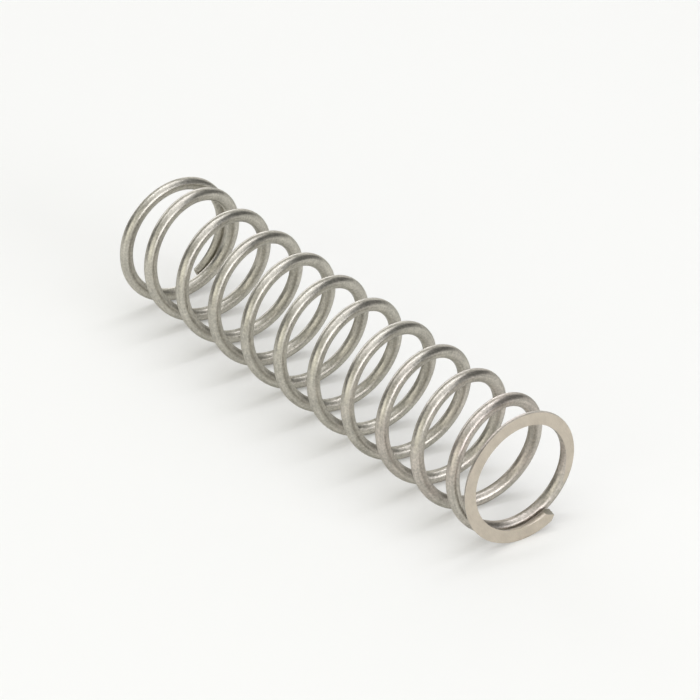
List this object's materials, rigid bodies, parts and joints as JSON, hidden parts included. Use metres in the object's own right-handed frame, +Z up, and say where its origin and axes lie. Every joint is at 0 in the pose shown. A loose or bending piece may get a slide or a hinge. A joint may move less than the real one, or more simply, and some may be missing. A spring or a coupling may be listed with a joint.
{
  "type": "compression spring",
  "caption": "Helical compression spring of bare round steel wire, wound right-handed at an even open pitch, with closed and ground ends.",
  "frame": {"origin": "centre of the lower ground end, on the coil's axis, in the plane that the spring stands on", "axes": "+Z up the coil's axis towards the upper ground end; +X points from the axis to the wire's lower tip, and the wire climbs from there towards +Y"},
  "size_m": [0.0184, 0.0184, 0.0762],
  "materials": {
    "spring_wire": "satin drawn wire, warm grey, with finely ground flat ends"
  },
  "bodies": {
    "root": {"spring": "spring_wire"}
  },
  "joints": []
}
